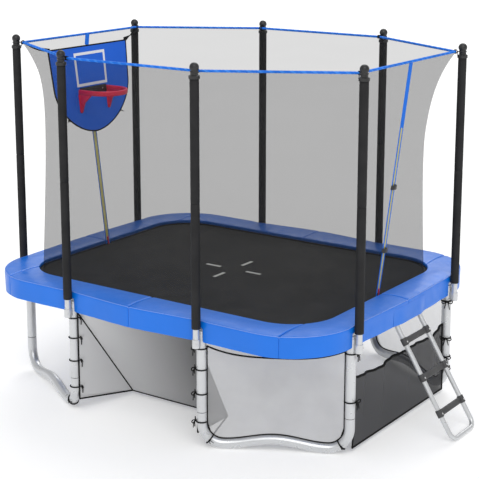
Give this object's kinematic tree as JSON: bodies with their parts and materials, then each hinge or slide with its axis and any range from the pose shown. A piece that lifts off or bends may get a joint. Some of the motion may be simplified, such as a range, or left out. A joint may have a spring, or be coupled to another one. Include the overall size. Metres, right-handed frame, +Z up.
{
  "type": "rectangular garden trampoline with safety enclosure",
  "caption": "Rounded-rectangle trampoline on bent tube legs with padded edge, net enclosure on padded poles, ball board with hoop, hook-on ladder and a goal net below",
  "frame": {"origin": "on the ground, under the middle of the outline with the ladder included", "axes": "+Z up; X along the trampoline's length with the ladder at +X and the ball board at -X; Y across it with the goal net at -Y"},
  "size_m": [3.5912, 2.6084, 2.7093],
  "materials": {
    "galvanised_steel": "galvanised tube, satin, slightly streaky",
    "spring_steel": "zinc-plated spring wire",
    "black_foam": "matt closed-cell foam sleeve",
    "black_plastic": "moulded, lightly textured",
    "blue_vinyl": "coated cloth over foam, soft sheen",
    "black_mat": "woven synthetic mat",
    "safety_mesh": "fine black knotless mesh, see-through",
    "blue_webbing": "woven webbing and twisted band",
    "black_webbing": "woven strap",
    "red_plastic": "crimson moulded plastic",
    "pale_mesh": "fine grey mesh, see-through",
    "dark_mesh": "dense dark mesh, gathered",
    "grey_plastic": "moulded dark grey"
  },
  "bodies": {
    "frame": {"top_frame": "galvanised_steel", "leg_frame_front_right": "galvanised_steel", "leg_frame_back_right": "galvanised_steel", "leg_frame_back_left": "galvanised_steel", "leg_frame_front_left": "galvanised_steel", "enclosure_pole_1": "galvanised_steel", "enclosure_pole_2": "galvanised_steel", "enclosure_pole_3": "galvanised_steel", "enclosure_pole_4": "galvanised_steel", "enclosure_pole_5": "galvanised_steel", "enclosure_pole_6": "galvanised_steel", "enclosure_pole_7": "galvanised_steel", "enclosure_pole_8": "galvanised_steel", "foam_sleeve_1": "black_foam", "foam_sleeve_2": "black_foam", "foam_sleeve_3": "black_foam", "foam_sleeve_4": "black_foam", "foam_sleeve_5": "black_foam", "foam_sleeve_6": "black_foam", "foam_sleeve_7": "black_foam", "foam_sleeve_8": "black_foam", "pole_cap_1": "black_plastic", "pole_cap_2": "black_plastic", "pole_cap_3": "black_plastic", "pole_cap_4": "black_plastic", "pole_cap_5": "black_plastic", "pole_cap_6": "black_plastic", "pole_cap_7": "black_plastic", "pole_cap_8": "black_plastic", "side_pad_front_right": "blue_vinyl", "side_pad_back_right": "blue_vinyl", "side_pad_back_left": "blue_vinyl", "side_pad_front_left": "blue_vinyl", "end_pad_front_right": "blue_vinyl", "end_pad_back_right": "blue_vinyl", "end_pad_back_left": "blue_vinyl", "end_pad_front_left": "blue_vinyl", "ladder_flap": "blue_vinyl", "coil_springs": "spring_steel", "safety_net": "safety_mesh", "top_band": "blue_webbing", "right_zip_tape": "blue_webbing", "left_zip_tape": "blue_webbing", "door_buckle_lower": "black_plastic", "door_buckle_upper": "black_plastic", "ball_board": "blue_vinyl", "board_straps": "black_webbing", "hoop_plate": "black_plastic", "ball_hoop": "red_plastic", "goal_net": "pale_mesh", "front_corner_net": "pale_mesh", "back_net": "pale_mesh", "end_net": "dark_mesh"},
    "mat": {"jumping_mat": "black_mat"},
    "ladder": {"ladder_tubes": "galvanised_steel", "ladder_step_1": "grey_plastic", "ladder_step_2": "grey_plastic", "ladder_step_3": "grey_plastic"},
    "right_slider": {"right_zip_slider": "red_plastic"},
    "left_slider": {"left_zip_slider": "red_plastic"}
  },
  "joints": [
    {"name": "mat_bounce", "type": "slide", "parent": "frame", "child": "mat", "axis": [0, 0, -1], "range_m": [0, 0.2], "stiffness_N_per_m": 4000, "springref_m": -0.02, "deforming": ["coil_springs"]},
    {"name": "ladder_swing", "type": "hinge", "parent": "frame", "child": "ladder", "pos_m": [1.27652, 0.03, 0.86833], "axis": [0, -1, 0], "range_deg": [0, 50], "deforming": ["ladder_flap"]},
    {"name": "right_zip_slide", "type": "slide", "parent": "frame", "child": "right_slider", "axis": [0.1279, 0, 0.9918], "range_m": [0, 1.17]},
    {"name": "left_zip_slide", "type": "slide", "parent": "frame", "child": "left_slider", "axis": [-0.1279, 0, 0.9918], "range_m": [0, 0.85]}
  ]
}
